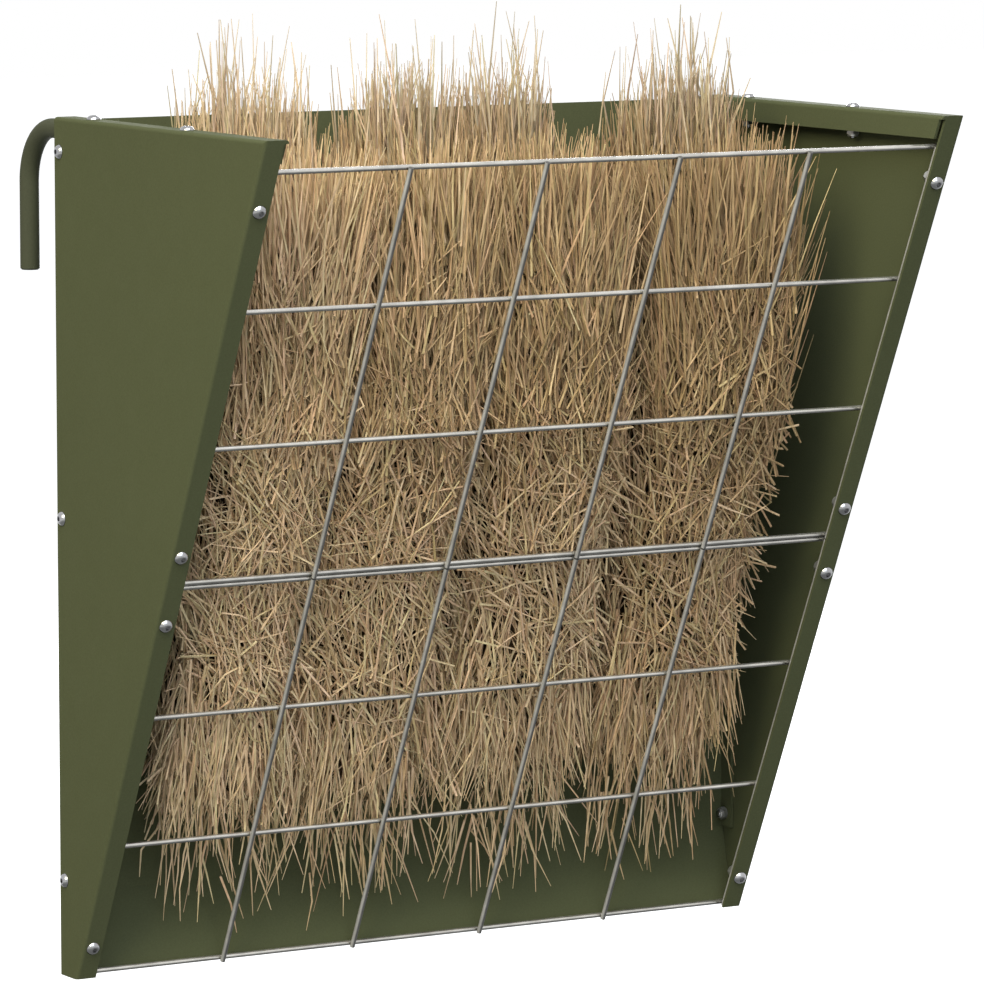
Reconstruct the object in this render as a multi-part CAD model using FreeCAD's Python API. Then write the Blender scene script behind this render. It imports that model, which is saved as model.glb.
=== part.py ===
import FreeCAD, Part
import math
import os

V = FreeCAD.Vector

# Hanging hay feeder. Millimetres, X across, Y from the front to the back, Z up.
# The rear face lies at Y = 0 and the undersides of the hook bars, where the rail goes, at Z = 0.

# Sheet metal
sheet = 2.0
bend_inside = 0.5
overrun = 5.0

# Hopper, outside; its height follows from the grids and the slant
depth_top = 289.0
depth_bottom = 22.0

# Welded grids, two of one size, one above the other
mesh_pitch = 100.0
bays_across = 5
bays_up = 3
grid_count = 2
wire = 3.4
weld_sink = 0.3
grid_seat_gap = 0.1
grid_pair_gap = 0.1
rim_margin = 26.4
foot_margin = 0.5
upright_inset = 12.0
cross_overhang = 3.0
upright_top_overhang = 1.2
upright_foot_overhang = 1.2

# Side panels
front_flange = 14.5
lip = 15.5
lip_relief = 1.0

# Back panel with its floor
seam_gap = 0.2
seam_flange = 15.0
floor_rise = 55.0
floor_foot_gap = 1.0
floor_side_gap = 0.5
notch_gap = 1.0

# Hooks
hook_bar = 13.0
bar_gap = 0.1
bar_side_gap = 0.25
hook_bend = 37.0
hook_reach = 55.0
hook_drop = 96.0
hook_bolt_setback = 40.0
hook_bolt_pitch = 130.0
hook_tail = 15.0
bar_chamfer = 1.0

# M5 fasteners: button-head bolts, lock nuts and washers
bolt = 5.0
bolt_hole = 5.5
bolt_end = 1.0
bolt_chamfer = 0.5
head = 9.5
head_height = 2.75
head_edge = 0.4
head_crown = 4.4
socket = 3.0
socket_depth = 1.6
nut_width = 8.0
nut_height = 5.0
nut_collar = 7.2
nut_collar_height = 1.5
nut_round = 0.6
thread_gap = 0.05
washer = 10.0
washer_hole = 5.3
washer_thick = 1.0

# Places of the bolts
grid_bolt_inset = 24.0
grid_bolt_gap = 0.3
seam_bolt_setback = 7.0
seam_bolt_drop = 22.5
seam_bolt_foot = 9.5
seam_bolt_count = 3

# Hay
hay_gap = 0.3
hay_side_gap = 3.0
hay_back_gap = 8.0
hay_top = 82.0
hay_foot = 30.0
wisp_root = 8.0
wisp_tip = 3.0
wisp_front_share = 0.5
wisp_depth_share = 1.0
hay_fill_share = 0.75
hay_lean_share = 0.12
hay_corner_share = 0.25
# Edges of each clump across the hopper, at its foot, where it leaves the grid and at its shoulder
clump_edge_shares = (
    ((-0.92, -0.54), (-0.995, -0.585), (-0.93, -0.50)),
    ((-0.53, -0.05), (-0.57, -0.15), (-0.415, -0.092)),
    ((-0.015, 0.43), (-0.135, 0.35), (-0.075, 0.27)),
    ((0.49, 0.93), (0.38, 0.86), (0.425, 0.885)),
)
clump_top_shares = (0.93, 1.0, 0.97, 0.95)
# Sections of a clump from the foot up: height, width, front, back; the second to fourth have the edges above
section_shares = (
    (0.085, 0.72, 0.2, 0.8),
    (0.14, 1.0, 0.0, 1.0),
    (0.63, 1.0, 0.0, 1.0),
    (0.925, 1.0, 0.0, 1.0),
    (0.965, 0.94, 0.3, 1.0),
    (1.0, 0.78, 0.38, 0.96),
    (1.045, 0.3, 0.54, 0.82),
)
# Loose ends: place across, place in the depth and reach, above the dome and below the foot
top_wisp_shares = ((-0.5, 0.55, 0.8), (0.05, 0.65, 1.0), (0.5, 0.72, 0.88))
foot_wisp_shares = ((-0.55, 0.1, 0.03), (0.05, 0.1, 0.0), (0.6, 0.1, 0.05))

# Worked out from the sizes above
half_grid = bays_across * mesh_pitch / 2
half_width = half_grid + upright_inset
bend_outside = bend_inside + sheet
channel = hook_bar + 2 * bar_side_gap
top_flange = sheet + channel + sheet
upright_depth = sheet + grid_seat_gap + wire / 2
cross_depth = upright_depth + wire - weld_sink
grid_height = bays_up * mesh_pitch
grid_pair = wire + grid_pair_gap
slant = rim_margin + grid_count * (grid_height + grid_pair) - grid_pair + foot_margin
tilt = math.asin((depth_top - depth_bottom) / slant)
height = slant * math.cos(tilt)
rim_z = hook_bar + bar_gap + sheet
low_z = rim_z - height
fold_z = low_z + floor_rise
washer_depth = sheet + grid_seat_gap + wire + grid_seat_gap
bar_x = half_width - sheet - bar_side_gap - hook_bar / 2
bar_z = hook_bar / 2
grid_bolt_x = half_grid + wire / 2 + grid_bolt_gap + bolt / 2
seam_half = half_width - sheet - seam_gap
seam_top_z = rim_z - lip - notch_gap
back_top_z = rim_z - sheet


def slope(down, depth):
    """The point (y, z) that lies a way down the slanted front and a depth behind its outer face."""
    y = -depth_top + down * math.sin(tilt) + depth * math.cos(tilt)
    z = rim_z - down * math.cos(tilt) + depth * math.sin(tilt)
    return y, z


def front_y(z, depth):
    """How far forward the plane at a depth behind the slanted front reaches at a height."""
    return -depth_top + (rim_z - z) * math.tan(tilt) + depth / math.cos(tilt)


def grid_start(number):
    """How far down the slope a grid's top cross wire lies."""
    return rim_margin + number * (grid_height + grid_pair)


def both_sides(shape):
    return [shape, shape.mirror(V(0, 0, 0), V(1, 0, 0))]


def prism(points, direction):
    return Part.Face(Part.makePolygon(points + points[:1])).extrude(direction)


def rounded_outline(corners):
    """A closed wire through the corners, each given with the radius of its bend."""
    edges = []
    for i, (corner, radius) in enumerate(corners):
        back = (corners[i - 1][0] - corner).normalize()
        ahead = (corners[(i + 1) % len(corners)][0] - corner).normalize()
        half = back.getAngle(ahead) / 2
        start = corner + back * (radius / math.tan(half))
        end = corner + ahead * (radius / math.tan(half))
        middle = corner + (back + ahead).normalize() * (radius / math.sin(half) - radius)
        edges.append((start, middle, end))
    wire_edges = []
    for i, (start, middle, end) in enumerate(edges):
        wire_edges.append(Part.makeLine(edges[i - 1][2], start))
        if start != end:
            wire_edges.append(Part.Arc(start, middle, end).toShape())
    return Part.Wire(wire_edges)


def box(low, high):
    return Part.makeBox(high.x - low.x, high.y - low.y, high.z - low.z, low)


def rod(start, end, diameter):
    axis = end - start
    return Part.makeCylinder(diameter / 2, axis.Length, start, axis)


def edges_through(shape, places):
    """The straight edges whose middles lie at the given places."""
    found = []
    for edge in shape.Edges:
        middle = edge.valueAt((edge.FirstParameter + edge.LastParameter) / 2)
        if any(middle.distanceToPoint(place) < sheet / 2 for place in places):
            found.append(edge)
    return found


def placed(shape, place, axis):
    """A fastener made along +Z, moved to its place with +Z turned to the axis."""
    moved = shape.copy()
    moved.Placement = FreeCAD.Placement(place, FreeCAD.Rotation(V(0, 0, 1), axis))
    return moved


def hexagon(width, low, high):
    corner = width / math.sqrt(3)
    turns = [math.radians(60 * i) for i in range(6)]
    points = [V(corner * math.cos(a), corner * math.sin(a), low) for a in turns]
    return prism(points, V(0, 0, high - low))


def button_bolt(grip):
    """Head above Z = 0, shank below it. The grip is what lies between the head and the nut's far face."""
    length = grip + bolt_end
    edge = V(head / 2, 0, head_edge)
    crown = V(head_crown / 2, 0, head_height)
    bulge = (edge + crown) * 0.5 + V(crown.z - edge.z, 0, edge.x - crown.x) * 0.5 * math.tan(math.pi / 12)
    outline = [
        Part.makePolygon([V(0, 0, head_height), V(0, 0, -length), V(bolt / 2 - bolt_chamfer, 0, -length),
                          V(bolt / 2, 0, bolt_chamfer - length), V(bolt / 2, 0, 0), V(head / 2, 0, 0), edge]),
        Part.Arc(edge, bulge, crown).toShape(),
        Part.makePolygon([crown, V(0, 0, head_height)]),
    ]
    body = Part.Face(Part.Wire([e for part in outline for e in part.Edges]))
    body = body.revolve(V(0, 0, 0), V(0, 0, 1), 360)
    return body.cut(hexagon(socket, head_height - socket_depth, head_height + overrun))


def lock_nut():
    """Nut from Z = 0 down: a bevelled hexagon and the round collar that holds its locking ring."""
    flat = nut_width / 2
    corner = nut_width / math.sqrt(3)
    bevel = (corner - flat) / math.sqrt(3)
    shoulder = nut_collar_height - nut_height
    collar = nut_collar / 2
    outline = [V(0, 0, 0), V(flat, 0, 0), V(corner, 0, -bevel), V(corner, 0, bevel + shoulder),
               V(flat, 0, shoulder), V(collar, 0, shoulder), V(collar, 0, nut_round - nut_height),
               V(collar - nut_round, 0, -nut_height), V(0, 0, -nut_height)]
    blank = Part.Face(Part.makePolygon(outline + outline[:1])).revolve(V(0, 0, 0), V(0, 0, 1), 360)
    bore = Part.makeCylinder(bolt / 2 + thread_gap, nut_height + 2 * overrun, V(0, 0, -nut_height - overrun))
    return blank.common(hexagon(nut_width, -nut_height, 0)).cut(bore)


def flat_washer():
    ring = Part.makeCylinder(washer / 2, washer_thick, V(0, 0, -washer_thick))
    bore = Part.makeCylinder(washer_hole / 2, washer_thick + 2 * overrun, V(0, 0, -washer_thick - overrun))
    return ring.cut(bore)


def grid_bolt_downs(number):
    start = grid_start(number)
    return [start + grid_bolt_inset, start + grid_height - grid_bolt_inset]


def seam_bolt_heights():
    top = rim_z - seam_bolt_drop
    step = (top - fold_z - seam_bolt_foot) / (seam_bolt_count - 1)
    return [top - i * step for i in range(seam_bolt_count)]


def hook_bolt_ys():
    return [-hook_bolt_setback, -hook_bolt_setback - hook_bolt_pitch]


def side_block(inset, top_z, rear_y, foot_z, radius):
    """The left panel's folded form as a full block, rounded where the sheet bends."""
    left = -half_width + inset
    right = -half_width + top_flange - inset
    yz = [(rear_y, top_z), (front_y(top_z, inset), top_z), (front_y(foot_z, inset), foot_z), (rear_y, foot_z)]
    block = prism([V(left, y, z) for y, z in yz], V(right - left, 0, 0))
    (rear, _), (brow, _), (toe, _), _ = yz
    bends = [V(left, (rear + brow) / 2, top_z), V(right, (rear + brow) / 2, top_z),
             V(left, (brow + toe) / 2, (top_z + foot_z) / 2)]
    return block.makeFillet(radius, edges_through(block, bends))


def left_side_panel():
    """Plate, front flange, top flange and turned-down lip, folded from one sheet."""
    panel = side_block(0, rim_z, 0, low_z, bend_outside)
    panel = panel.cut(side_block(sheet, rim_z - sheet, overrun, low_z - overrun, bend_inside))
    inner = -half_width + top_flange
    panel = panel.cut(box(V(inner - sheet, -depth_top - overrun, low_z - overrun),
                          V(inner + overrun, overrun, rim_z - lip)))
    top = rim_z - bend_outside
    foot = low_z - overrun
    back = sheet + lip_relief
    strip = [(front_y(top, -overrun), top), (front_y(top, back), top), (front_y(foot, back), foot),
             (front_y(foot, -overrun), foot)]
    edge = -half_width + front_flange
    panel = panel.cut(prism([V(edge, y, z) for y, z in strip], V(top_flange, 0, 0)))
    for number in range(grid_count):
        for down in grid_bolt_downs(number):
            near = V(-grid_bolt_x, *slope(down, -overrun))
            panel = panel.cut(rod(near, V(-grid_bolt_x, *slope(down, sheet + overrun)), bolt_hole))
    for z in seam_bolt_heights():
        panel = panel.cut(rod(V(-half_width - overrun, -seam_bolt_setback, z),
                              V(-half_width + sheet + overrun, -seam_bolt_setback, z), bolt_hole))
    for y in hook_bolt_ys():
        panel = panel.cut(rod(V(-bar_x, y, rim_z + overrun), V(-bar_x, y, bar_z), bolt_hole))
    return panel.removeSplitter()


def back_panel():
    """Back with a seam flange at each side, notched for the hooks, and a floor folded forward at its foot."""
    foot_y, foot_z = slope(grid_start(grid_count - 1) + grid_height, cross_depth + wire / 2 + floor_foot_gap)
    lean = math.atan2(-sheet - foot_y, fold_z - foot_z)
    floor_half = half_width - sheet - floor_side_gap
    corners = [(0, back_top_z, 0), (0, fold_z - sheet * math.tan(lean / 2), bend_outside),
               (foot_y + sheet * math.cos(lean), foot_z - sheet * math.sin(lean), 0), (foot_y, foot_z, 0),
               (-sheet, fold_z, bend_inside), (-sheet, back_top_z, 0)]
    outline = rounded_outline([(V(-floor_half, y, z), radius) for y, z, radius in corners])
    panel = Part.Face(outline).extrude(V(2 * floor_half, 0, 0))
    trough = box(V(-seam_half, -seam_flange, fold_z), V(seam_half, 0, seam_top_z))
    rear_edges = [V(x, 0, (fold_z + seam_top_z) / 2) for x in (-seam_half, seam_half)]
    trough = trough.makeFillet(bend_outside, edges_through(trough, rear_edges))
    hollow_half = seam_half - sheet
    hollow = box(V(-hollow_half, -seam_flange - overrun, fold_z - overrun),
                 V(hollow_half, -sheet, seam_top_z + overrun))
    inner_edges = [V(x, -sheet, (fold_z + seam_top_z) / 2) for x in (-hollow_half, hollow_half)]
    hollow = hollow.makeFillet(bend_inside, edges_through(hollow, inner_edges))
    web_half = seam_half - bend_outside
    for x in (-web_half, web_half):
        edge = math.copysign(half_width, x)
        panel = panel.cut(box(V(min(x, edge), -overrun, fold_z), V(max(x, edge), overrun, rim_z + overrun)))
    panel = panel.fuse(trough.cut(hollow))
    notch_x = half_width - top_flange - notch_gap
    for x in (-half_width, notch_x):
        panel = panel.cut(box(V(x, -seam_flange - overrun, seam_top_z),
                              V(x + half_width - notch_x, overrun, rim_z + overrun)))
    for z in seam_bolt_heights():
        holes = rod(V(-half_width, -seam_bolt_setback, z), V(half_width, -seam_bolt_setback, z), bolt_hole)
        panel = panel.cut(holes)
    return panel.removeSplitter()


def left_hook():
    """Round bar that runs back in the panel's channel and bends down behind the rail in a straight leg."""
    tail_y = hook_bolt_ys()[-1] - hook_tail
    turn_y = hook_reach - hook_bend
    middle = math.sqrt(0.5) * hook_bend
    points = [V(-bar_x, tail_y, bar_z), V(-bar_x, turn_y, bar_z),
              V(-bar_x, turn_y + middle, bar_z - hook_bend + middle),
              V(-bar_x, hook_reach, bar_z - hook_bend), V(-bar_x, hook_reach, bar_z - hook_drop)]
    path = Part.Wire([Part.makeLine(points[0], points[1]), Part.Arc(*points[1:4]).toShape(),
                      Part.makeLine(points[3], points[4])])
    section = Part.Wire(Part.makeCircle(hook_bar / 2, points[0], V(0, 1, 0)))
    bar = path.makePipeShell([section], True, False)
    rims = [e for e in bar.Edges if e.BoundBox.Center.distanceToPoint(points[0]) < sheet
            or e.BoundBox.Center.distanceToPoint(points[4]) < sheet]
    bar = bar.makeChamfer(bar_chamfer, [e for e in rims if isinstance(e.Curve, Part.Circle)])
    for y in hook_bolt_ys():
        bar = bar.cut(rod(V(-bar_x, y, hook_bar + overrun), V(-bar_x, y, -overrun), bolt_hole))
    return bar


def cross_wires(number):
    reach = half_grid + cross_overhang
    wires = []
    for row in range(bays_up + 1):
        y, z = slope(grid_start(number) + row * mesh_pitch, cross_depth)
        wires.append(rod(V(-reach, y, z), V(reach, y, z), wire))
    return wires


def uprights(number):
    start = grid_start(number)
    top = slope(start - upright_top_overhang, upright_depth)
    foot = slope(start + grid_height + upright_foot_overhang, upright_depth)
    xs = [-half_grid + i * mesh_pitch for i in range(bays_across + 1)]
    return [rod(V(x, *top), V(x, *foot), wire) for x in xs]


def grid_fasteners(number, shape, depth):
    """One fastener at each bolt of a grid, seated at a depth behind the front face."""
    out = V(0, -math.cos(tilt), -math.sin(tilt))
    pieces = []
    for down in grid_bolt_downs(number):
        y, z = slope(down, depth)
        pieces += [placed(shape, V(x, y, z), out) for x in (-grid_bolt_x, grid_bolt_x)]
    return pieces


def seam_fasteners(shape, inset):
    """The left seam's fasteners, pointing out of the side."""
    places = [V(-half_width + inset, -seam_bolt_setback, z) for z in seam_bolt_heights()]
    return [placed(shape, place, V(-1, 0, 0)) for place in places]


def hook_fasteners(shape, z):
    return [placed(shape, V(-bar_x, y, z), V(0, 0, 1)) for y in hook_bolt_ys()]


def stacked(rings):
    """A flat-faced solid through outlines of one kind, one above the other."""
    outlines = [rings[0], rings[-1]]
    for low, high in zip(rings, rings[1:]):
        outlines += [[low[i - 1], low[i], high[i], high[i - 1]] for i in range(len(low))]
    return Part.Solid(Part.Shell([Part.Face(Part.makePolygon(o + o[:1])) for o in outlines]))


def wisp(levels):
    """A loose end of hay. Each level gives its height, middle, half width and front."""
    rings = []
    for z, x, half, front in levels:
        narrow = half * wisp_front_share
        waist = front + half * wisp_depth_share
        back = front + 2 * half * wisp_depth_share
        rings.append([V(x - narrow, front, z), V(x + narrow, front, z), V(x + half, waist, z),
                      V(x + narrow, back, z), V(x - narrow, back, z), V(x - half, waist, z)])
    return stacked(rings)


def clump_height(up):
    """The height at a share of the way from the lowest loose end to the rim."""
    return low_z + hay_foot + up * (height - hay_foot)


def clump_depth(z):
    """Front and back of the hay at a height: on the grids below, nearly upright above."""
    leave_z = clump_height(section_shares[2][0])
    front = front_y(min(z, leave_z), cross_depth + wire / 2 + hay_gap)
    front -= max(z - leave_z, 0) * math.tan(tilt) * hay_lean_share
    return front, front + hay_fill_share * (-sheet - hay_back_gap - front)


def clump_edges(number, up):
    """Left and right edge of a clump at a share of its height."""
    hay_half = half_width - top_flange - hay_side_gap
    knots = [shares[0] for shares in section_shares[1:4]]
    rows = clump_edge_shares[number]
    up = min(max(up, knots[0]), knots[-1])
    low = 0 if up < knots[1] else 1
    part = (up - knots[low]) / (knots[low + 1] - knots[low])
    return [hay_half * (a + part * (b - a)) for a, b in zip(rows[low], rows[low + 1])]


def clump_section(number, up, wide, near, far):
    """The outline of a clump at a share of its height, with its corners cut at 45 degrees."""
    left, right = clump_edges(number, up)
    front, back = clump_depth(clump_height(up))
    spare = (right - left) * (1 - wide) / 2
    left, right = left + spare, right - spare
    deep = back - front
    front, back = front + near * deep, front + far * deep
    cut = hay_corner_share * min(right - left, back - front)
    z = clump_height(up)
    return [V(left + cut, front, z), V(right - cut, front, z),
            V(right, front + cut, z), V(right, back - cut, z),
            V(right - cut, back, z), V(left + cut, back, z),
            V(left, back - cut, z), V(left, front + cut, z)]


def clump_wisp(number, up, across, deep, tip_z):
    """A loose end that starts inside a clump at a share of its height and runs to a tip."""
    left, right = clump_edges(number, up)
    root_z = clump_height(up)
    levels = []
    for z, half in sorted([(root_z, wisp_root), (tip_z, wisp_tip)]):
        front, back = clump_depth(z)
        x = (left + right) / 2 + across * (right - left) / 2
        levels.append((z, x, half, front + deep * (back - front)))
    return wisp(levels)


def hay_clump(number):
    """A column of hay that leans on the grids and stands up out of the open top, with loose ends."""
    rings = [clump_section(number, *shares) for shares in section_shares]
    clump = stacked(rings)
    for across, deep, reach in top_wisp_shares:
        tip_z = rim_z + hay_top * reach * clump_top_shares[number]
        clump = clump.fuse(clump_wisp(number, section_shares[3][0], across, deep, tip_z))
    for across, deep, reach in foot_wisp_shares:
        clump = clump.fuse(clump_wisp(number, section_shares[1][0], across, deep, clump_height(reach)))
    return clump.removeSplitter()


def build():
    side = both_sides(left_side_panel())
    hook = both_sides(left_hook())
    nut = lock_nut()
    washer_back = washer_depth + washer_thick
    grid_bolt = button_bolt(washer_back + nut_height)
    seam_stack = sheet + seam_gap + sheet
    seam_bolt = button_bolt(seam_stack + nut_height)
    hook_bolt = button_bolt(rim_z + nut_height)
    nodes = {
        "left_side_panel": [side[0]],
        "right_side_panel": [side[1]],
        "back_panel": [back_panel()],
        "left_hook": [hook[0]],
        "right_hook": [hook[1]],
    }
    for number, name in enumerate(("upper", "lower")[:grid_count]):
        nodes[name + "_grid_cross_wires"] = cross_wires(number)
        nodes[name + "_grid_uprights"] = uprights(number)
        nodes[name + "_grid_bolts"] = grid_fasteners(number, grid_bolt, 0)
        nodes[name + "_grid_washers"] = grid_fasteners(number, flat_washer(), washer_depth)
        nodes[name + "_grid_nuts"] = grid_fasteners(number, nut, washer_back)
    groups = {
        "seam_bolts": seam_fasteners(seam_bolt, 0),
        "seam_nuts": seam_fasteners(nut, seam_stack),
        "hook_bolts": hook_fasteners(hook_bolt, rim_z),
        "hook_nuts": hook_fasteners(nut, 0),
    }
    for group, pieces in groups.items():
        pairs = [both_sides(piece) for piece in pieces]
        nodes["left_" + group] = [pair[0] for pair in pairs]
        nodes["right_" + group] = [pair[1] for pair in pairs]
    for number in range(len(clump_edge_shares)):
        nodes["hay_clump_" + str(number + 1)] = [hay_clump(number)]
    return nodes


os.makedirs("parts", exist_ok=True)
for node, solids in build().items():
    shape = solids[0] if len(solids) == 1 else Part.makeCompound(solids)
    shape.exportStep("parts/" + node + ".step")
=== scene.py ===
import math

import bpy
import numpy as np
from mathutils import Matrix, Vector


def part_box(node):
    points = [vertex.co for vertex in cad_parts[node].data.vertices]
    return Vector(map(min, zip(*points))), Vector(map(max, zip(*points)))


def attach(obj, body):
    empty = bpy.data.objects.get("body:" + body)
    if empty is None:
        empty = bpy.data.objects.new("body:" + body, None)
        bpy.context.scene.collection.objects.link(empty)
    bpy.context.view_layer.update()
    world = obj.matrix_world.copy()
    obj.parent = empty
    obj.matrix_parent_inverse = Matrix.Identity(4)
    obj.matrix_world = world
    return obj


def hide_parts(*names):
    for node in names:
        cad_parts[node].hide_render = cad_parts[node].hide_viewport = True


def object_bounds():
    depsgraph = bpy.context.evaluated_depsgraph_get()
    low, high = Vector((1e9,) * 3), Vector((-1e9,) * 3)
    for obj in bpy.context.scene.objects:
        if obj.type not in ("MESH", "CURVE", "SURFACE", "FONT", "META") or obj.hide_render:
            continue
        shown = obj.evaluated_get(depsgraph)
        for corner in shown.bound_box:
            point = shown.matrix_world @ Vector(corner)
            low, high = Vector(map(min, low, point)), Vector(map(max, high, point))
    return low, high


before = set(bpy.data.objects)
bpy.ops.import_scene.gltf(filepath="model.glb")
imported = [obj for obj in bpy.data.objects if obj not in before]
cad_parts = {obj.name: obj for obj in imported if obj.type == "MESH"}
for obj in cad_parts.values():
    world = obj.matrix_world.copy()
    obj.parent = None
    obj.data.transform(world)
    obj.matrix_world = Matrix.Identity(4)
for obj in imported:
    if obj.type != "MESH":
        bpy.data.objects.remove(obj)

CAD_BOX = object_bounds()
WHITE = (1.0, 1.0, 1.0)

# Camera, fitted to the wire crossings of the photograph
CAMERA_PLACE = (-2.1074, -3.6857, 0.2610)
CAMERA_YAW = math.radians(30.588)
CAMERA_PITCH = math.radians(6.843)
CAMERA_FOCAL_PX = 6275.7
CAMERA_CLIP_END = 100.0
PHOTO_WIDTH_PX = 984
SENSOR_MM = 36.0

# Stage: the floor fades to white between the two distances from its middle
FLOOR_DROP = 0.30
FLOOR_SIZE = 30.0
FLOOR_MIDDLE = (-0.35, -0.75)
FLOOR_FADE = (1.0, 1.9)
FLOOR_GLOW = (0.20, 0.95)
FLOOR_DARK = (0.34, 0.345, 0.355)
FLOOR_PALE = (0.36, 0.365, 0.375)
FLOOR_CLOUDS = 0.6
FLOOR_ROUGH = 0.9
WORLD_LIGHT = 0.35
WORLD_COLOUR = (0.84, 0.92, 1.0)

# Lamps: name, place, width and height, power in watts, colour
LAMP_TARGET = (0.0, -0.15, -0.25)
LAMPS = (
    ("key_left", (-3.19, -1.96, 2.18), (2.3, 2.3), 168.0, (1.0, 0.94, 0.66)),
    ("front_fill", (-0.90, -3.00, 1.05), (2.4, 1.6), 24.0, (0.82, 0.92, 1.0)),
    ("overhead", (-0.50, -1.35, 1.85), (1.6, 1.5), 50.0, (0.92, 0.96, 1.0)),
    ("behind_right", (2.60, 2.90, 0.40), (2.2, 1.4), 150.0, (0.97, 0.98, 1.0)),
)

# Most of a noise texture's values lie between these two
NOISE_RANGE = (0.3, 0.7)

# Powder paint: linear colours, noise scales, tones, bump strength and height
OLIVE = (0.087, 0.095, 0.049)
HOOK_GREY = (0.064, 0.068, 0.045)
PAINT_CLOUDS = 5.0
PAINT_CLOUD_TONES = (0.975, 1.025)
PAINT_GRAIN = 850.0
PAINT_GRAIN_TONE = 0.86
PAINT_GLOSS_PATCHES = 60.0
PAINT_SPECULAR = 0.03
PAINT_BUMP = (0.16, 0.0003)

# Drawn metal: linear colours, noise scales, tones, bump strength and height
# The cross wires and the uprights are one galvanised wire: the lighter colour across is painted light and
# the darker one up is painted shade
ZINC_ACROSS_LIT = (0.71, 0.69, 0.65)
ZINC_UP_SHADED = (0.43, 0.415, 0.405)
BOLT_STEEL = (0.46, 0.46, 0.47)
NUT_ZINC = (0.46, 0.46, 0.45)
METAL_PATCHES = 70.0
METAL_PATCH_TONES = (0.78, 1.15)
METAL_LINES = 420.0
METAL_LINE_TONE = 0.80
METAL_SPECULAR = 0.15
METAL_BUMP = (0.10, 0.0002)
LINES_ACROSS = (0.03, 1.0, 1.0)
LINES_UP = (1.0, 0.3, 0.03)
LINES_NONE = (1.0, 1.0, 1.0)
# Painted shade on metal, darker below for most metal and on the right side for the uprights: a component
# of its normal, and its values at full painted shade and at none
PAINTED_SHADE_BELOW = ("Z", -0.35, 0.20)
PAINTED_SHADE_RIGHT = ("X", -0.15, -0.75)

# Hay, linear colours from the nearly black inside, which is painted shade, to the bleached tips
HAY_CORE_PAINTED_SHADE = (0.052, 0.034, 0.016)
HAY_DARK = (0.370, 0.252, 0.134)
HAY_MID = (0.640, 0.458, 0.266)
HAY_LIGHT = (0.820, 0.635, 0.415)
HAY_TIP = (0.680, 0.580, 0.450)
STREAKS = 260.0
STREAK_STRETCH = (1.0, 1.0, 0.25)
STREAK_SHADE = (0.72, 0.68, 0.62)
STALK_ROUGH = (0.55, 0.80)
STALK_SPECULAR = 0.12
STALK_BUMP = (0.25, 0.0004)
TANGLE = 180.0
TANGLE_STRETCH = (1.6, 1.6, 0.4)
TANGLE_SHADE = 0.35
TANGLE_ROUGH = 0.9
TANGLE_SPECULAR = 0.1
TANGLE_BUMP = (0.9, 0.003)

# Hay columns from left to right: middle and half width at the foot, half way up and at the rim
COLUMN_HEIGHTS = (-0.450, -0.200, 0.000)
COLUMN_MIDDLES = (
    (-0.170, -0.191, -0.170),
    (-0.070, -0.087, -0.062),
    (0.050, 0.026, 0.014),
    (0.166, 0.148, 0.151),
)
COLUMN_HALVES = (
    (0.039, 0.046, 0.055),
    (0.056, 0.047, 0.046),
    (0.051, 0.055, 0.046),
    (0.048, 0.052, 0.058),
)
COLUMN_FEET = (-0.478, -0.484, -0.476, -0.474)
COLUMN_TOPS = (0.090, 0.093, 0.093, 0.092)

# Tufts at the rim, one for each column: how far behind the front, middle and half width
TUFT_BACKS = (0.110, 0.092, 0.092, 0.092)
TUFT_MIDDLES = (-0.167, -0.060, 0.014, 0.155)
TUFT_WIDES = (0.049, 0.042, 0.040, 0.045)
TUFT_HALF = 0.028

# Where hay may be: behind the grids, in front of the back and between the lips
GRID_CLEARANCE = 0.0022
BACK_CLEARANCE = 0.006
SIDE_CLEARANCE = 0.003
UPRIGHT_FROM = -0.185
TOP_LEAN_SHARE = 0.12
HAY_DEPTH = 0.140
HAY_THIN = 0.012
FILL_SHARE = 0.75

# Stalks of one column: how many, how thick, thicker near the rim and the foot, and how bent
HAY_SEED = 41
STANDING_STALKS = 2100
LYING_STALKS = 2750
HANGING_STALKS = 330
ROUND_STALKS = 1500
STALK_RADIUS = 0.00075
STALK_SPREAD = (0.7, 1.25)
STALK_TAPERS = (1.0, 0.85, 0.30)
STALK_SIDES = 3
END_MIDDLE = -0.24
END_HALF = 0.21
END_THICKER = 1.08
BOWED_SHARE = 0.08
BOWED = 0.0055
STRAIGHT = 0.0014

# Standing stalks: crowns, falls, rises, fans and strays give the tufts' value, then the fringe's
TUFT_SHARE = 0.64
CROWNS = (0.027, -0.010)
CROWN_FALLS = (0.030, 0.036)
CROWN_EDGE = 1.3
LOW_UP_TO = 0.66
EVEN_UP_TO = 0.92
LOW_DROP = 0.105
LOW_POWER = 1.2
EVEN_RISES = (0.028, 0.018)
LONG_LESS = 0.029
LONG_FRINGE = 0.026
STANDING_LENGTHS = (0.060, 0.110)
STANDING_FANS = (0.10, 0.16)
STANDING_STRAYS = (0.11, 0.17)
STANDING_LEAN = (0.02, 0.09)
TUFT_HELD_SHARE = 0.7
FRINGE_BACK = 0.004
FRINGE_DEPTH = 0.042
FRINGE_WIDE_SHARE = 0.94

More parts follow.
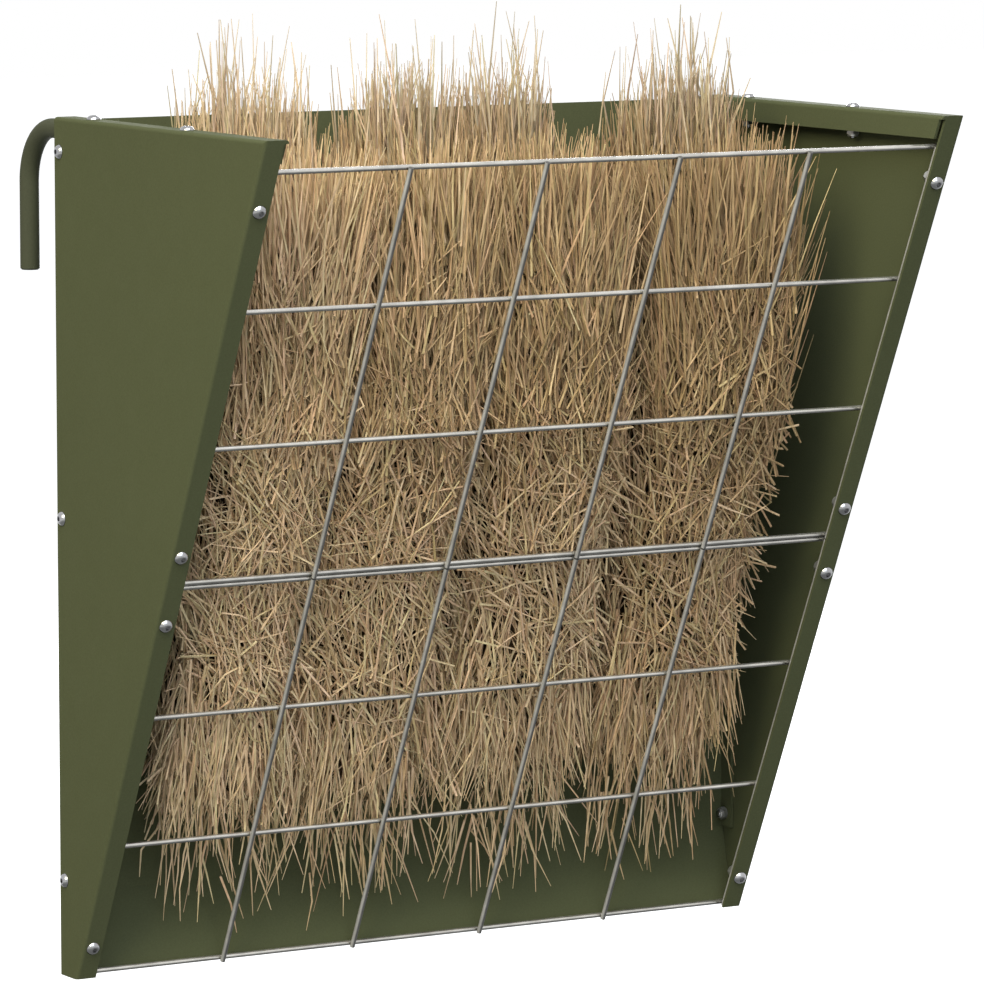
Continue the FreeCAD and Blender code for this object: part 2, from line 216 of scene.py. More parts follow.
# Lying stalks; tables run from the foot, 0, to the top of the front, 1
LYING_FOOT = 0.042
LYING_FOOT_ROUND = 0.038
LYING_TOP = -0.075
LYING_POWER = 0.88
HIDDEN_SHARE = 0.12
HIDDEN_DEPTHS = (0.4, 1.0)
FRONT_DEPTH = 0.009
FRONT_GAP = 0.002
BULGE = 0.018
LOOSE_TABLE = ((0.0, 0.25, 0.55, 0.85, 1.0), (0.24, 0.44, 0.50, 0.32, 0.22))
LOOSE_EDGE_LESS = 0.55
FAN = 0.30
FAN_TABLE = ((0.0, 0.5, 1.0), (-1.0, 0.1, 0.9))
LEAN_TABLE = ((0.0, 0.3, 0.62, 0.75), (-0.25, -0.48, -0.40, 0.0))
SWIRL = 0.22
SWIRL_PER_METRE = 60.0
SWIRL_PER_COLUMN = 2.1
SWIRL_ACROSS = 2.5
CROSSING_TABLE = ((0.0, 0.25, 0.8, 1.0), (0.06, 0.20, 0.14, 0.04))
CROSSING_WITHIN = 0.75
CROSSING_TILT = 1.45
CROSSING_LENGTH_SHARE = 0.65
LYING_LENGTHS = (0.032, 0.074)
LYING_STRAY = 0.13
HEADS_UP_FROM = 0.6
HEADS_DOWN_TO = 0.2

# Hanging stalks
HANGING_FOOT = 0.040
HANGING_FOOT_ROUND = 0.032
RAGGED_DROP = 0.105
RAGGED_POWER = 3.0
HANGING_LENGTHS = (0.045, 0.085)
HANGING_DEPTH = 0.25
HANGING_TILT = (-0.22, 0.18)
HANGING_FAN = 0.14
HANGING_SLANT_SHARE = 0.75
HANGING_STRAY = 0.08
HANGING_GAP = 0.003

# Stalks round the sides and the back
ROUND_FOOT = 0.045
ROUND_TOP = -0.030
ROUND_PAST = 0.35
ROUND_THICKS = (0.84, 1.0)
SQUARE_POWER = 0.7
ROUND_TILT = 0.30
ROUND_LEAN = (0.10, 0.25)
ROUND_HALF_LENGTHS = (0.018, 0.040)
# How deep the round stalks count for the painted shade of deeper stalks
ROUND_TONE_DEPTH = 0.5

# Tones of stalks: a share between dark and light straw, shifted by height and by column as painted light
# and shade, and what changes it
PAINTED_LIGHTING_BY_HEIGHT = ((-0.45, -0.28, -0.14, -0.04), (0.34, 0.28, -0.28, -0.20))
# Painted light and shade by column: the left column lighter, the right ones darker
COLUMN_PAINTED_LIGHTING_HEIGHTS = (-0.28, -0.14)
COLUMN_PAINTED_LIGHTING_HIGH = (0.17, -0.04, -0.17, -0.26)
COLUMN_PAINTED_LIGHTING_LOW = (0.18, 0.05, 0.05, -0.20)
TONE_MEAN = 0.55
TONE_SPREAD = 0.20
TONE_DEEP_PAINTED_SHADE = 0.20
TONE_HIGH_MORE = 0.12
TONE_ACROSS_MORE = 0.15
ACROSS_SLOPE = 0.6
BLEACH_FROM = 0.010
BLEACH_OVER = 0.07
BLEACH_MOST = 0.6
GREEN_SPREAD = 0.05
GREEN_RANGE = (-0.08, 0.10)
GREEN_TINT = (-0.6, 0.4, -0.4)

# The tangle inside a column
CORE_LEVELS = 32
CORE_SIDES = 26
CORE_FOOT = 0.050
CORE_TOP = -0.014
CORE_SHOULDER = -0.080
CORE_FOOT_SHARE = 0.45
CORE_FOOT_SWELL = 4.0
CORE_TOP_TAPER = 0.9
CORE_TOP_LEAST = 0.02
CORE_NEAR_GAP = 0.004
CORE_NEAR_SHARE = 0.10
CORE_FAR_SHARE = 0.9
CORE_TUFT_NEAR_SHARE = 0.5
CORE_TUFT_FAR_SHARE = 0.8
CORE_WIDE_SHARE = 0.86
CORE_LUMPS = 0.10
CORE_UNEVEN = 0.004


def grid_plane():
    """A point and the inward normal of the plane that the backs of the cross wires touch."""
    low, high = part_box("upper_grid_cross_wires")
    foot_low, foot_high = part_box("lower_grid_cross_wires")
    top_wire = Vector((0, low.y, high.z))
    foot_wire = Vector((0, foot_high.y, foot_low.z))
    along = (foot_wire - top_wire).normalized()
    normal = Vector((0, -along.z, along.y))
    return top_wire, normal


def new_object(name, vertices, faces):
    mesh = bpy.data.meshes.new(name)
    mesh.from_pydata([tuple(v) for v in vertices], [], [tuple(f) for f in faces])
    mesh.update()
    piece = bpy.data.objects.new(name, mesh)
    bpy.context.scene.collection.objects.link(piece)
    return piece


class Nodes:
    """A material's node tree, with short ways to add and join nodes."""

    def __init__(self, name):
        self.material = bpy.data.materials.new(name)
        self.material.use_nodes = True
        self.tree = self.material.node_tree
        self.shader = self.tree.nodes["Principled BSDF"]
        self.coordinates = self.add("ShaderNodeTexCoord").outputs["Object"]

    def add(self, kind, **settings):
        node = self.tree.nodes.new(kind)
        for key, value in settings.items():
            setattr(node, key, value)
        return node

    def join(self, source, target):
        self.tree.links.new(source, target)

    def set(self, name, value):
        """Gives one of the shader's own sockets a value that is the same all over."""
        self.shader.inputs[name].default_value = value

    def feed(self, name, source):
        """Joins a value that varies to one of the shader's sockets."""
        self.join(source, self.shader.inputs[name])

    def stretched(self, scale):
        mapping = self.add("ShaderNodeMapping")
        mapping.inputs["Scale"].default_value = scale
        self.join(self.coordinates, mapping.inputs["Vector"])
        return mapping.outputs["Vector"]

    def noise(self, scale, detail=3.0, vector=None):
        node = self.add("ShaderNodeTexNoise")
        node.inputs["Scale"].default_value = scale
        node.inputs["Detail"].default_value = detail
        self.join(vector or self.coordinates, node.inputs["Vector"])
        return node.outputs["Fac"]

    def ramp(self, value, stops):
        node = self.add("ShaderNodeValToRGB")
        elements = node.color_ramp.elements
        while len(elements) < len(stops):
            elements.new(0.5)
        for element, (place, colour) in zip(elements, stops):
            element.position = place
            element.color = (*colour, 1.0)
        self.join(value, node.inputs["Fac"])
        return node.outputs["Color"]

    def mapped(self, value, source, target, kind="LINEAR"):
        """A value carried over from one range to another."""
        node = self.add("ShaderNodeMapRange", interpolation_type=kind)
        for name, number in zip(("From Min", "From Max", "To Min", "To Max"), (*source, *target)):
            node.inputs[name].default_value = number
        self.join(value, node.inputs["Value"])
        return node.outputs["Result"]

    def multiplied(self, first, second):
        """Two colours multiplied."""
        node = self.add("ShaderNodeMix", data_type="RGBA", blend_type="MULTIPLY")
        node.inputs["Factor"].default_value = 1.0
        self.join(first, node.inputs["A"])
        self.join(second, node.inputs["B"])
        return node.outputs["Result"]

    def bump(self, value, strength, distance):
        node = self.add("ShaderNodeBump")
        node.inputs["Strength"].default_value = strength
        node.inputs["Distance"].default_value = distance
        self.join(value, node.inputs["Height"])
        self.feed("Normal", node.outputs["Normal"])


def tone(colour, factor):
    return tuple(channel * factor for channel in colour)


def powder_coat(name, colour, rough):
    """Matt powder paint: cloudy colour, a fine orange-peel skin and a slightly uneven gloss."""
    nodes = Nodes(name)
    clouds = nodes.noise(PAINT_CLOUDS, 3.0)
    grain = nodes.noise(PAINT_GRAIN, 2.0)
    darker, lighter = PAINT_CLOUD_TONES
    broad = nodes.ramp(clouds, [(0.30, tone(colour, darker)), (0.70, tone(colour, lighter))])
    fine = nodes.ramp(grain, [(0.25, tone(WHITE, PAINT_GRAIN_TONE)), (0.75, WHITE)])
    nodes.feed("Base Color", nodes.multiplied(broad, fine))
    nodes.feed("Roughness", nodes.mapped(nodes.noise(PAINT_GLOSS_PATCHES), NOISE_RANGE, rough))
    nodes.set("Specular IOR Level", PAINT_SPECULAR)
    nodes.bump(grain, *PAINT_BUMP)
    return nodes.material


def drawn_metal(name, colour, rough, stretch, painted_shade_tone, metallic, painted_shade_side=PAINTED_SHADE_BELOW):
    """Bare or zinc-plated steel: patchy tone, lines along the drawing direction, and painted shade that
    darkens one side.
    """
    nodes = Nodes(name)
    patches = nodes.noise(METAL_PATCHES, 4.0)
    lines = nodes.noise(METAL_LINES, 3.0, nodes.stretched(stretch))
    darker, lighter = METAL_PATCH_TONES
    broad = nodes.ramp(patches, [(0.28, tone(colour, darker)), (0.72, tone(colour, lighter))])
    fine = nodes.ramp(lines, [(0.30, tone(WHITE, METAL_LINE_TONE)), (0.70, WHITE)])
    faces = nodes.add("ShaderNodeSeparateXYZ")
    nodes.join(nodes.add("ShaderNodeTexCoord").outputs["Normal"], faces.inputs[0])
    # Painted shade: the base colour darkens towards one side of the normal, where a lit wire or bolt head
    # is shaded
    component, full, none = painted_shade_side
    unshaded = nodes.mapped(faces.outputs[component], (full, none), (0.0, 1.0))
    painted_shade = nodes.ramp(unshaded, [(0.0, tone(WHITE, painted_shade_tone)), (1.0, WHITE)])
    nodes.feed("Base Color", nodes.multiplied(nodes.multiplied(broad, fine), painted_shade))
    nodes.feed("Roughness", nodes.mapped(lines, NOISE_RANGE, rough))
    nodes.set("Metallic", metallic)
    nodes.set("Specular IOR Level", METAL_SPECULAR)
    nodes.bump(lines, *METAL_BUMP)
    return nodes.material


def hay_stalk_material():
    """Dry stalks: each has its own tone, kept in the mesh, with streaks along it."""
    nodes = Nodes("hay_stalk")
    own = nodes.add("ShaderNodeVertexColor", layer_name="stalk_tone").outputs["Color"]
    streaks = nodes.noise(STREAKS, 3.0, nodes.stretched(STREAK_STRETCH))
    shade = nodes.ramp(streaks, [(0.30, STREAK_SHADE), (0.70, WHITE)])
    nodes.feed("Base Color", nodes.multiplied(own, shade))
    nodes.feed("Roughness", nodes.mapped(streaks, NOISE_RANGE, STALK_ROUGH))
    nodes.set("Specular IOR Level", STALK_SPECULAR)
    nodes.bump(streaks, *STALK_BUMP)
    return nodes.material


def hay_core_painted_shade_material():
    """The tangle inside the hay, coloured nearly black as painted shade."""
    nodes = Nodes("hay_tangle_painted_shade")
    tangle = nodes.noise(TANGLE, 4.0, nodes.stretched(TANGLE_STRETCH))
    stops = [(0.35, tone(HAY_CORE_PAINTED_SHADE, TANGLE_SHADE)), (0.60, HAY_CORE_PAINTED_SHADE), (0.80, HAY_DARK)]
    nodes.feed("Base Color", nodes.ramp(tangle, stops))
    nodes.set("Roughness", TANGLE_ROUGH)
    nodes.set("Specular IOR Level", TANGLE_SPECULAR)
    nodes.bump(tangle, *TANGLE_BUMP)
    return nodes.material


def dress_metal():
    """A finish for every metal node, chosen by the end of its name."""
    olive = powder_coat("olive_powder_coat", OLIVE, rough=(0.70, 0.82))
    hook = powder_coat("hook_paint", HOOK_GREY, rough=(0.52, 0.62))
    wire_across = drawn_metal("galvanised_wire_across", ZINC_ACROSS_LIT, rough=(0.20, 0.32), stretch=LINES_ACROSS,
                              painted_shade_tone=0.25, metallic=0.85)
    # The uprights get painted shade on their right sides, where a wire lit from the left is shaded
    wire_up = drawn_metal("galvanised_wire_up", ZINC_UP_SHADED, rough=(0.28, 0.42), stretch=LINES_UP,
                          painted_shade_tone=0.26, metallic=0.20, painted_shade_side=PAINTED_SHADE_RIGHT)
    bolt = drawn_metal("bolt_steel", BOLT_STEEL, rough=(0.12, 0.24), stretch=LINES_NONE,
                       painted_shade_tone=0.4, metallic=1.0)
    nut = drawn_metal("nut_zinc", NUT_ZINC, rough=(0.28, 0.45), stretch=LINES_NONE,
                      painted_shade_tone=0.8, metallic=0.8)
    finishes = {"panel": olive, "_hook": hook, "cross_wires": wire_across, "uprights": wire_up,
                "bolts": bolt, "nuts": nut, "washers": nut}
    for node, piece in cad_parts.items():
        for ending, material in finishes.items():
            if node.endswith(ending):
                for place in piece.material_slots:
                    place.material = material


class HaySpace:
    """The room for hay in the hopper, in metres."""

    def __init__(self):
        self.point, self.normal = grid_plane()
        back_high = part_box("back_panel")[1]
        panel_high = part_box("left_side_panel")[1]
        self.rim = back_high.z
        self.side = -panel_high.x - SIDE_CLEARANCE
        self.back = back_high.y - BACK_CLEARANCE
        self.slant = -self.normal.z / self.normal.y

    def grid(self, z):
        """The hindmost face of the grids at a height."""
        up = np.minimum(z, self.rim) - self.point.z
        return self.point.y + up * self.slant + GRID_CLEARANCE / self.normal.y

    def front(self, z):
        """How far forward the hay reaches: along the grids below, nearly upright near the top."""
        lower = self.grid(np.minimum(z, UPRIGHT_FROM))
        return lower + np.maximum(z - UPRIGHT_FROM, 0) * self.slant * TOP_LEAN_SHARE

    def depth(self, z):
        """How deep the hay lies behind its front at a height: thin at the foot, full at the rim."""
        return np.clip(FILL_SHARE * (self.back - self.front(z)), HAY_THIN, HAY_DEPTH)

    def kept_in(self, points):
        """Points moved back to where nothing is in their way."""
        points[..., 1] = np.clip(points[..., 1], self.grid(points[..., 2]), self.back)
        points[..., 0] = np.clip(points[..., 0], -self.side, self.side)
        return points


def column_at(column, z):
    """Middle and half width of a column at a height."""
    middle = np.interp(z, COLUMN_HEIGHTS, COLUMN_MIDDLES[column])
    half = np.interp(z, COLUMN_HEIGHTS, COLUMN_HALVES[column])
    return middle, half


def direction(tilt, lean):
    """Unit vectors that lean sideways by tilt and forward by lean for each step up."""
    along = np.stack([np.sin(tilt), -np.cos(tilt) * lean, np.cos(tilt)], axis=-1)
    return along / np.linalg.norm(along, axis=-1, keepdims=True)


def squared(ratio):
    """A sine or cosine pushed outwards, so that a round section fills its corners."""
    return np.sign(ratio) * np.abs(ratio) ** SQUARE_POWER


def standing_lines(column, space, rng):
    """Upright stalks at the rim: a short fringe, and behind it a dense dome with a few long tips."""
    count = STANDING_STALKS
    behind = rng.random(count) < TUFT_SHARE
    across = rng.uniform(-1.0, 1.0, count)
    deep = np.where(behind, rng.uniform(-1.0, 1.0, count), rng.random(count))
    round_off = np.clip(across ** 2 + deep ** 2, 0.0, CROWN_EDGE)
    fall = np.where(behind, CROWN_FALLS[0] * round_off, CROWN_FALLS[1] * across ** 4)
    dome = np.where(behind, *CROWNS) - fall
    kind = rng.random(count)
    low = dome - LOW_DROP * rng.random(count) ** LOW_POWER
    even = dome + np.where(behind, *EVEN_RISES) * rng.random(count)
    long = dome + np.where(behind, COLUMN_TOPS[column] - LONG_LESS, LONG_FRINGE) * rng.random(count)
    reach = np.where(kind < LOW_UP_TO, low, np.where(kind < EVEN_UP_TO, even, long))
    length = rng.uniform(*STANDING_LENGTHS, count)
    tilt = np.where(behind, *STANDING_FANS) * across
    tilt += rng.normal(0.0, 1.0, count) * np.where(behind, *STANDING_STRAYS)
    along = direction(tilt, rng.normal(*STANDING_LEAN, count))
    middle, half = column_at(column, reach - length / 2)
    held = np.where(behind, TUFT_HELD_SHARE, 0.0) * length
    held_z = reach - length + held
    set_back = np.where(behind, TUFT_BACKS[column] + TUFT_HALF * deep, FRINGE_BACK + FRINGE_DEPTH * deep)
    tuft_x = TUFT_MIDDLES[column] + across * TUFT_WIDES[column]
    x = np.where(behind, tuft_x, middle + FRINGE_WIDE_SHARE * across * half)
    root = np.stack([x, space.front(held_z) + set_back, held_z], axis=-1) - along * held[:, None]
    return root, root + along * length[:, None], np.clip(set_back / HAY_DEPTH, 0.0, 1.0)


def lying_lines(column, space, rng):
    """Stalks down the front: mostly upright, crossing each other, some lying across."""
    count = LYING_STALKS
    across = rng.uniform(-1.0, 1.0, count)
    foot = COLUMN_FEET[column] + LYING_FOOT + LYING_FOOT_ROUND * np.abs(across) ** 3
    up = rng.random(count) ** LYING_POWER
    z = foot + up * (LYING_TOP - foot)
    middle, half = column_at(column, z)
    depth = space.depth(z)
    hidden = rng.random(count) < HIDDEN_SHARE
    inside = rng.uniform(*HIDDEN_DEPTHS, count)
    near = np.minimum(np.abs(rng.normal(0.0, FRONT_DEPTH, count)) / depth, 1.0)
    deep = np.where(hidden, inside, near)
    y = space.front(z) + FRONT_GAP + BULGE * across ** 4 + deep * depth
    centre = np.stack([middle + across * half, y, z], axis=-1)
    loose = np.interp(up, *LOOSE_TABLE) * (1.0 - LOOSE_EDGE_LESS * across ** 4)
    tilt = rng.normal(0.0, 1.0, count) * loose + FAN * across * np.interp(up, *FAN_TABLE)
    tilt += np.interp(up, *LEAN_TABLE)
    tilt += SWIRL * np.sin(SWIRL_PER_METRE * z + SWIRL_PER_COLUMN * column + SWIRL_ACROSS * across)
    crossing = rng.random(count) < np.interp(up, *CROSSING_TABLE)
    crossing &= np.abs(across) < CROSSING_WITHIN
    tilt = np.where(crossing, rng.uniform(-CROSSING_TILT, CROSSING_TILT, count), tilt)
    follow = np.where(z < UPRIGHT_FROM, -space.slant, -space.slant * TOP_LEAN_SHARE)
    along = direction(tilt, follow + rng.normal(0.0, LYING_STRAY, count))
    length = rng.uniform(*LYING_LENGTHS, count) * np.where(crossing, CROSSING_LENGTH_SHARE, 1.0)
    either = rng.choice((-1.0, 1.0), count)
    heading = np.where(up > HEADS_UP_FROM, 1.0, np.where(up < HEADS_DOWN_TO, -1.0, either))
    reach = along * (length / 2 * heading)[:, None]
    return centre - reach, centre + reach, deep


def hanging_lines(column, space, rng):
    """Stalks that hang below the dense hay, with ragged ends."""
    count = HANGING_STALKS
    across = rng.uniform(-1.0, 1.0, count)
    ragged = rng.random(count) ** RAGGED_POWER
    foot = COLUMN_FEET[column] + HANGING_FOOT + HANGING_FOOT_ROUND * np.abs(across) ** 3
    length = rng.uniform(*HANGING_LENGTHS, count)
    root_z = foot - RAGGED_DROP * ragged + length
    middle, half = column_at(column, root_z)
    deep = np.abs(rng.normal(0.0, HANGING_DEPTH, count))
    tilt = rng.normal(*HANGING_TILT, count) - HANGING_FAN * across
    along = direction(tilt, -space.slant * HANGING_SLANT_SHARE + rng.normal(0.0, HANGING_STRAY, count))
    y = space.front(root_z) + HANGING_GAP + deep * space.depth(root_z)
    root = np.stack([middle + across * half, y, root_z], axis=-1)
    return root, root - along * length[:, None], deep


def round_lines(column, space, rng):
    """Stalks on the sides and the back of a column, mostly upright."""
    count = ROUND_STALKS
    z = rng.uniform(COLUMN_FEET[column] + ROUND_FOOT, ROUND_TOP, count)
    middle, half = column_at(column, z)
    turn = rng.uniform(-ROUND_PAST, math.pi + ROUND_PAST, count)
    thick = rng.uniform(*ROUND_THICKS, count)
    x = middle + half * thick * squared(np.cos(turn))
    y = space.front(z) + space.depth(z) / 2 * (1.0 + thick * squared(np.sin(turn)))
    centre = np.stack([x, y, z], axis=-1)
    along = direction(rng.normal(0.0, ROUND_TILT, count), rng.normal(*ROUND_LEAN, count))
    half_length = rng.uniform(*ROUND_HALF_LENGTHS, count) * rng.choice((-1.0, 1.0), count)
    reach = along * half_length[:, None]
    return centre - reach, centre + reach, np.full(count, ROUND_TONE_DEPTH)


def stalk_lines(column, space, rng):
    """Root, bend and tip of every stalk of a column, and how deep in it each one lies."""
    makers = (standing_lines, lying_lines, hanging_lines, round_lines)
    parts = [make(column, space, rng) for make in makers]
    root, tip, deep = (np.concatenate(rows) for rows in zip(*parts))
    count = len(root)
    bow = np.where(rng.random(count) < BOWED_SHARE, BOWED, STRAIGHT)
    bend = (root + tip) / 2 + rng.normal(0.0, 1.0, (count, 3)) * bow[:, None]
    return space.kept_in(np.stack([root, bend, tip], axis=1)), deep


def stalk_mesh(name, lines, tones, rng):
    """Three-sided tapered stalks as one mesh, each with its own tone."""
    count = len(lines)
    along = lines[:, 2] - lines[:, 0]
    along /= np.linalg.norm(along, axis=-1, keepdims=True)
    side = np.cross(along, rng.normal(0.0, 1.0, (count, 3)))
    side /= np.linalg.norm(side, axis=-1, keepdims=True)
    other = np.cross(along, side)
    at_ends = np.abs(lines[:, 2, 2] - END_MIDDLE) > END_HALF
    thickness = STALK_RADIUS * rng.uniform(*STALK_SPREAD, count) * np.where(at_ends, END_THICKER, 1.0)
    rings = []
    for station, taper in enumerate(STALK_TAPERS):
        for turn in range(STALK_SIDES):
            angle = 2 * math.pi * turn / STALK_SIDES
            offset = math.cos(angle) * side + math.sin(angle) * other
            rings.append(lines[:, station] + offset * (thickness * taper)[:, None])
    vertices = np.stack(rings, axis=1).reshape(-1, 3)
    quads = []
    for station in range(len(STALK_TAPERS) - 1):
        ring = station * STALK_SIDES
        above = ring + STALK_SIDES
        for turn in range(STALK_SIDES):
            following = (turn + 1) % STALK_SIDES
            quads.append((ring + turn, ring + following, above + following, above + turn))
    points = len(rings)
    faces = (np.array(quads)[None] + (np.arange(count) * points)[:, None, None]).reshape(-1, 4)
    piece = new_object(name, vertices.tolist(), faces.tolist())
    colours = np.ones((count, points, 4), np.float32)
    colours[:, :, :3] = tones[:, None]
    layer = piece.data.color_attributes.new("stalk_tone", "FLOAT_COLOR", "POINT")
    layer.data.foreach_set("color", colours.ravel())
    return piece


def stalk_tones(column, lines, deep, rng):
    """Straw colours: deeper stalks darker as painted shade, stalks that lie across lighter, tips above the
    rim bleached, and painted light and shade by height and by column.
    """
    count = len(lines)
    bend_z = lines[:, 1, 2]
    tip_z = lines[:, 2, 2]
    # Painted light and shade by height: lower stalks lighter, upper stalks darker
    painted_lighting = np.interp(bend_z, *PAINTED_LIGHTING_BY_HEIGHT)
    # Painted light and shade by column, blended between a low and a high height
    painted_lighting += np.interp(bend_z, COLUMN_PAINTED_LIGHTING_HEIGHTS, (COLUMN_PAINTED_LIGHTING_LOW[column], COLUMN_PAINTED_LIGHTING_HIGH[column]))
    slope = np.abs(tip_z - lines[:, 0, 2]) / np.linalg.norm(lines[:, 2] - lines[:, 0], axis=-1)
    across = np.where(slope < ACROSS_SLOPE, TONE_ACROSS_MORE, 0.0)
    high = TONE_HIGH_MORE * (tip_z > 0.0)
    own = rng.normal(TONE_MEAN, TONE_SPREAD, count)
    # Deeper stalks get a darker straw tone: painted shade inside the hay
    share = np.clip(own - TONE_DEEP_PAINTED_SHADE * deep + high + across + painted_lighting, 0.0, 1.0)
    stops = np.array((HAY_DARK, HAY_MID, HAY_LIGHT))
    tones = np.stack([np.interp(share, (0.0, 0.5, 1.0), stops[:, i]) for i in range(3)], axis=-1)
    bleached = np.clip((tip_z - BLEACH_FROM) / BLEACH_OVER, 0.0, BLEACH_MOST)[:, None]
    tones = tones * (1.0 - bleached) + np.array(HAY_TIP) * bleached
    green = np.clip(rng.normal(0.0, GREEN_SPREAD, count), *GREEN_RANGE)[:, None]
    return tones * (1.0 + green * np.array(GREEN_TINT))


def core_mesh(name, column, space, rng):
    """The tangle inside a column: a lumpy closed form just behind the front stalks."""
    foot = COLUMN_FEET[column] + CORE_FOOT
    tuft_near = TUFT_BACKS[column] - CORE_TUFT_NEAR_SHARE * TUFT_HALF
    tuft_far = TUFT_BACKS[column] + CORE_TUFT_FAR_SHARE * TUFT_HALF
    vertices = []
    for share in np.arange(CORE_LEVELS) / (CORE_LEVELS - 1):
        z = foot + share * (CORE_TOP - foot)
        middle, half = column_at(column, z)
        depth = space.depth(z)
        rise = min(1.0, max(0.0, (z - CORE_SHOULDER) / (CORE_TOP - CORE_SHOULDER)))
        pinch = min(1.0, CORE_FOOT_SHARE + CORE_FOOT_SWELL * share)
        pinch *= math.sqrt(max(CORE_TOP_LEAST, 1.0 - CORE_TOP_TAPER * rise))
        near = (1.0 - rise) * (CORE_NEAR_GAP + CORE_NEAR_SHARE * depth) + rise * tuft_near
        far = (1.0 - rise) * CORE_FAR_SHARE * depth + rise * tuft_far
        for angle in 2 * math.pi * np.arange(CORE_SIDES) / CORE_SIDES:
            lump = 1.0 + CORE_LUMPS * rng.normal()
            x = middle + CORE_WIDE_SHARE * half * pinch * lump * squared(math.cos(angle))
            y = space.front(z) + (near + far) / 2 + (far - near) / 2 * lump * math.sin(angle)
            vertices.append((x, y, z + CORE_UNEVEN * rng.normal()))
    faces = []
    for ring in range(0, (CORE_LEVELS - 1) * CORE_SIDES, CORE_SIDES):
        above = ring + CORE_SIDES
        for j in range(CORE_SIDES):
            following = (j + 1) % CORE_SIDES
            faces.append((ring + j, ring + following, above + following, above + j))
    faces.append(tuple(reversed(range(CORE_SIDES))))
    faces.append(tuple(range(len(vertices) - CORE_SIDES, len(vertices))))
    points = space.kept_in(np.array(vertices))
    return new_object(name, points.tolist(), faces)


def make_hay():
    space = HaySpace()
    stalk = hay_stalk_material()
    tangle = hay_core_painted_shade_material()
    for column in range(len(COLUMN_MIDDLES)):
        rng = np.random.default_rng(HAY_SEED + column)
        number = str(column + 1)
        lines, deep = stalk_lines(column, space, rng)
        stalks = stalk_mesh("hay_stalks_" + number, lines, stalk_tones(column, lines, deep, rng), rng)
        core = core_mesh("hay_tangle_painted_shade_" + number, column, space, rng)
        stalks.data.materials.append(stalk)
        core.data.materials.append(tangle)
        for piece in (stalks, core):
            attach(piece, "hay")
        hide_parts("hay_clump_" + number)


def make_camera():
    data = bpy.data.cameras.new("camera")
    data.sensor_width = SENSOR_MM
    data.lens = CAMERA_FOCAL_PX / PHOTO_WIDTH_PX * SENSOR_MM
    data.clip_end = CAMERA_CLIP_END
    camera = bpy.data.objects.new("camera", data)
    camera.location = CAMERA_PLACE
    camera.rotation_euler = (math.pi / 2 - CAMERA_PITCH, 0.0, -CAMERA_YAW)
    bpy.context.scene.collection.objects.link(camera)
    bpy.context.scene.camera = camera


def seen_rays(tree):
    """1 for rays that show the background itself: camera, mirror and glass rays."""
    path = tree.nodes.new("ShaderNodeLightPath")
    first = tree.nodes.new("ShaderNodeMath")
    second = tree.nodes.new("ShaderNodeMath")
    for node in (first, second):
        node.operation = "MAXIMUM"
    tree.links.new(path.outputs["Is Camera Ray"], first.inputs[0])
    tree.links.new(path.outputs["Is Glossy Ray"], first.inputs[1])
    tree.links.new(first.outputs[0], second.inputs[0])
    tree.links.new(path.outputs["Is Transmission Ray"], second.inputs[1])
    return second.outputs[0]


def make_world():
    """Soft light from all round, with a plain white background for the rays that show it."""
    world = bpy.data.worlds.new("studio")
    bpy.context.scene.world = world
    world.use_nodes = True
    tree = world.node_tree
    light = tree.nodes["Background"]
    light.inputs["Color"].default_value = (*WORLD_COLOUR, 1.0)
    light.inputs["Strength"].default_value = WORLD_LIGHT
    seen = tree.nodes.new("ShaderNodeBackground")
    seen.inputs["Color"].default_value = (*WHITE, 1.0)
    seen.inputs["Strength"].default_value = 1.0
    mix = tree.nodes.new("ShaderNodeMixShader")
    tree.links.new(seen_rays(tree), mix.inputs["Fac"])
    tree.links.new(light.outputs[0], mix.inputs[1])
    tree.links.new(seen.outputs[0], mix.inputs[2])
    tree.links.new(mix.outputs[0], tree.nodes["World Output"].inputs["Surface"])


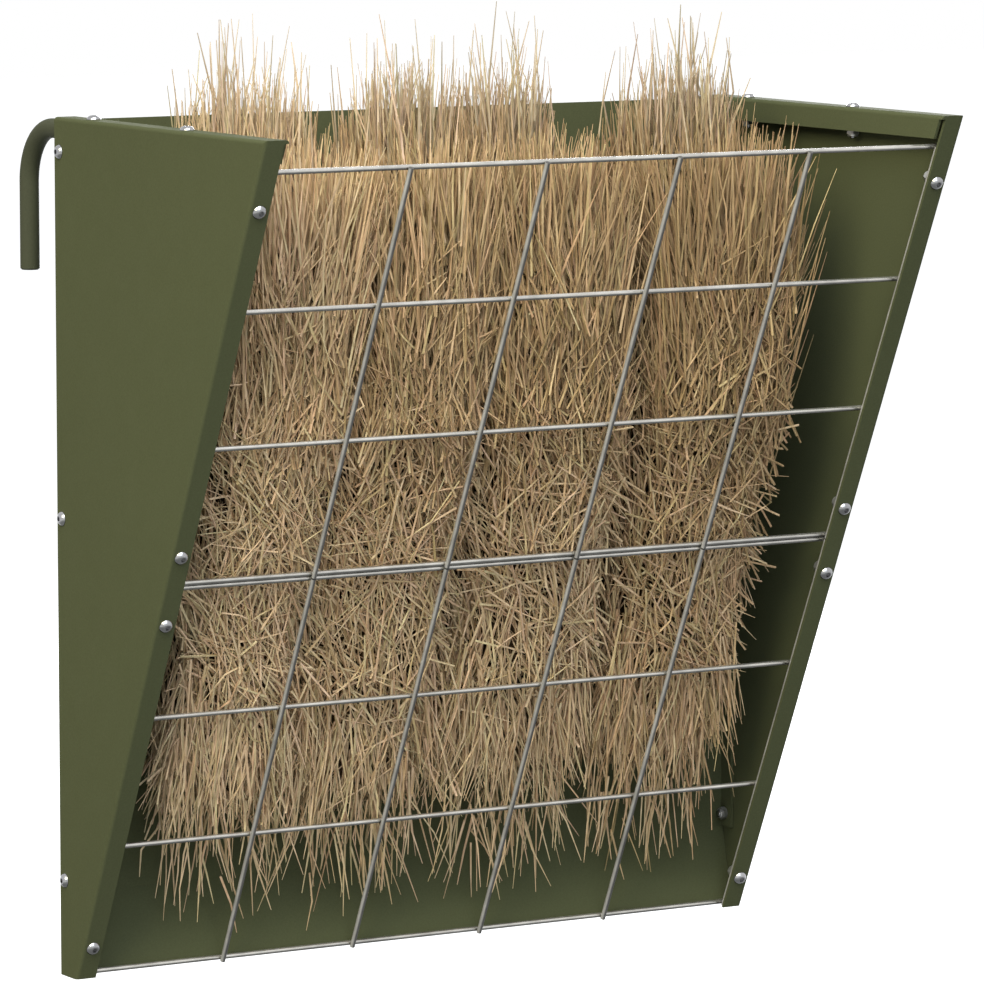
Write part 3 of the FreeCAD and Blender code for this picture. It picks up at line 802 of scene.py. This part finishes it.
def make_floor():
    """A pale floor that takes the shadow near the object and turns plain white further out."""
    z = CAD_BOX[0][2] - FLOOR_DROP
    half = FLOOR_SIZE / 2
    corners = [(-half, -half, z), (half, -half, z), (half, half, z), (-half, half, z)]
    floor = new_object("floor", corners, [(0, 1, 2, 3)])
    nodes = Nodes("pale_floor")
    clouds = nodes.noise(FLOOR_CLOUDS, 2.0)
    nodes.feed("Base Color", nodes.ramp(clouds, list(zip(NOISE_RANGE, (FLOOR_DARK, FLOOR_PALE)))))
    nodes.set("Roughness", FLOOR_ROUGH)
    nodes.set("Specular IOR Level", 0.0)
    away = nodes.add("ShaderNodeVectorMath", operation="DISTANCE")
    nodes.join(nodes.coordinates, away.inputs[0])
    away.inputs[1].default_value = (*FLOOR_MIDDLE, z)
    fade = nodes.mapped(away.outputs["Value"], FLOOR_FADE, FLOOR_GLOW, "SMOOTHSTEP")
    level = nodes.add("ShaderNodeMath", operation="MULTIPLY")
    nodes.join(seen_rays(nodes.tree), level.inputs[0])
    nodes.join(fade, level.inputs[1])
    glow = nodes.add("ShaderNodeEmission")
    nodes.join(level.outputs[0], glow.inputs["Strength"])
    glow.inputs["Color"].default_value = (*WHITE, 1.0)
    total = nodes.add("ShaderNodeAddShader")
    nodes.join(nodes.shader.outputs[0], total.inputs[0])
    nodes.join(glow.outputs[0], total.inputs[1])
    nodes.join(total.outputs[0], nodes.tree.nodes["Material Output"].inputs["Surface"])
    floor.data.materials.append(nodes.material)


def make_lamp(name, place, size, power, colour):
    """A soft rectangular lamp that points at the middle of the object."""
    data = bpy.data.lights.new(name, "AREA")
    data.shape = "RECTANGLE"
    data.size, data.size_y = size
    data.energy = power
    data.color = colour
    lamp = bpy.data.objects.new(name, data)
    lamp.location = place
    lamp.visible_camera = False
    aim = Vector(LAMP_TARGET) - Vector(place)
    lamp.rotation_euler = aim.to_track_quat("-Z", "Y").to_euler()
    bpy.context.scene.collection.objects.link(lamp)


bpy.context.scene.view_settings.view_transform = "Standard"
dress_metal()
make_hay()
make_camera()
make_world()
make_floor()
for lamp_row in LAMPS:
    make_lamp(*lamp_row)
